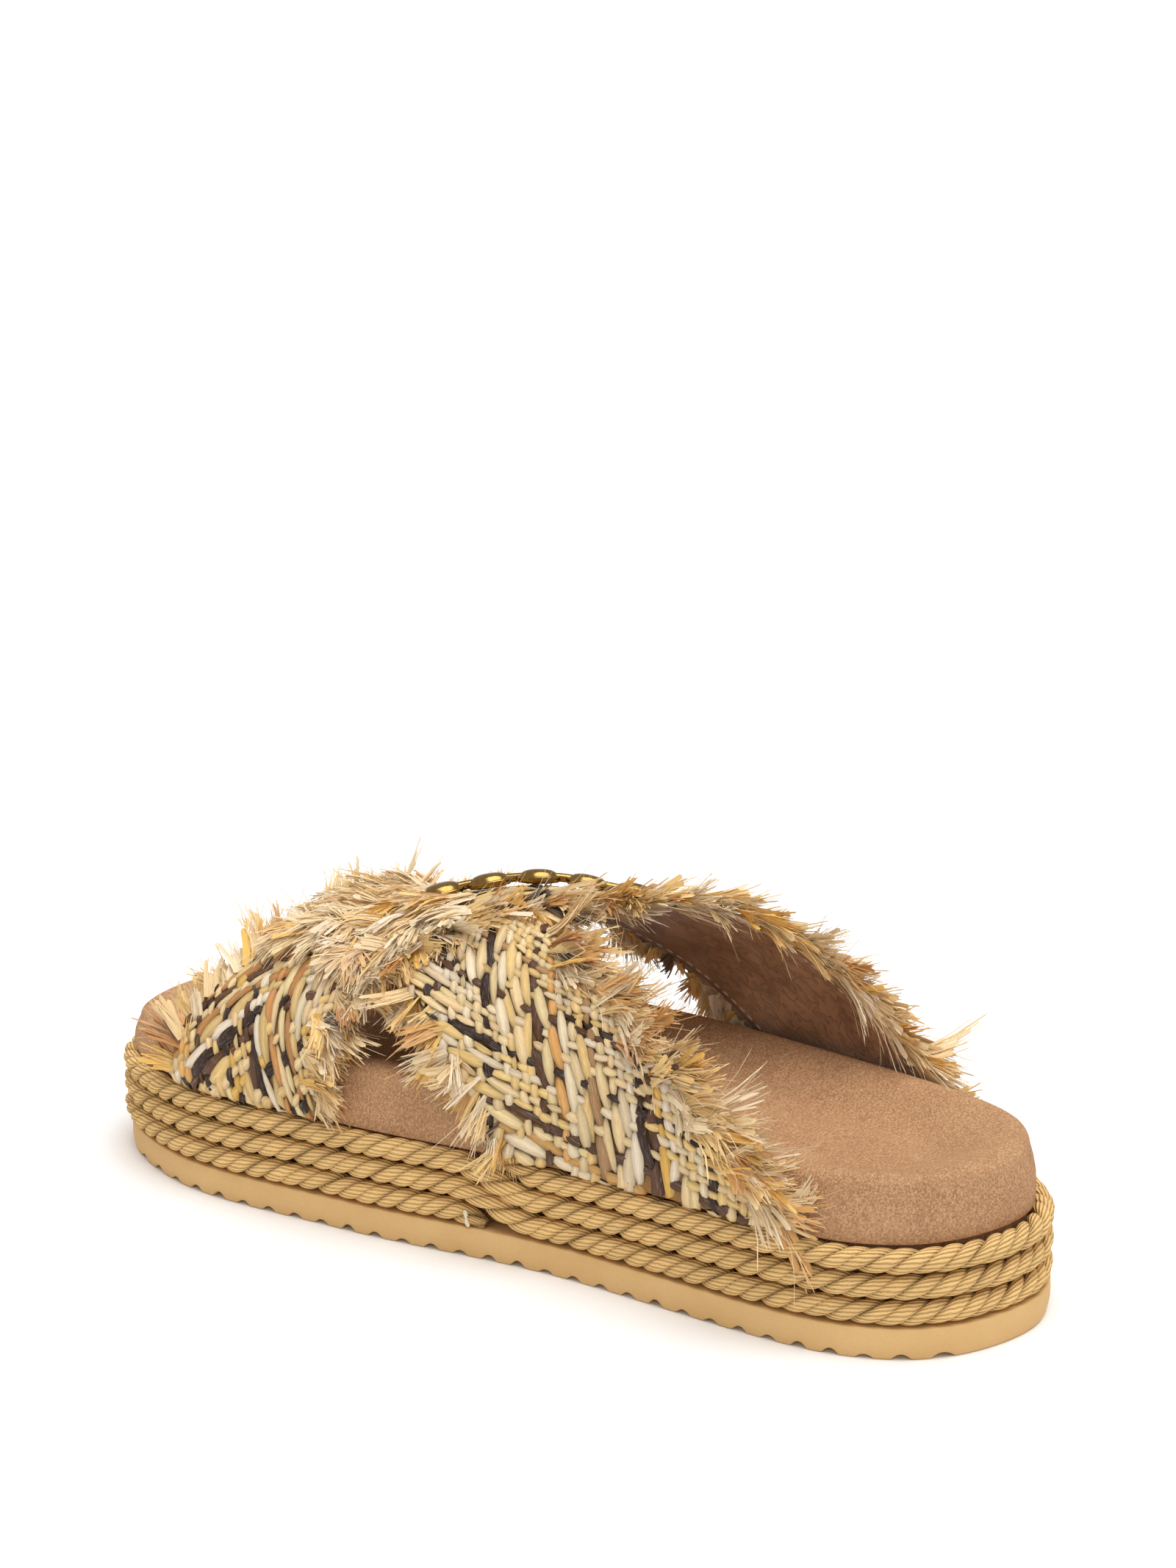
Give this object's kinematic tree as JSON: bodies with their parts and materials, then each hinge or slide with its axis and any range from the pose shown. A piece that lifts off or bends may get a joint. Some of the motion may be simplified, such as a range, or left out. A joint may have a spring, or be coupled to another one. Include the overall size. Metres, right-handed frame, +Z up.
{
  "type": "raffia sandal",
  "caption": "Slide sandal for the right foot with crossed woven raffia straps, frayed edges, a thick suede footbed wrapped in rope and a flat foam outsole.",
  "frame": {"origin": "on the floor, under the centre of the whole sandal's bounding box", "axes": "+Z up, +Y from heel to toe, +X towards the outer side of the foot"},
  "size_m": [0.0916, 0.2696, 0.0956],
  "materials": {
    "foam": "matt foam",
    "suede": "suede nap",
    "rope": "twisted cord",
    "raffia": "woven raffia with frayed edges",
    "gilt": "polished"
  },
  "bodies": {
    "root": {"outsole": "foam", "footbed": "suede", "rope_wrap": "rope", "upper": "raffia", "ornament": "gilt"}
  },
  "joints": []
}
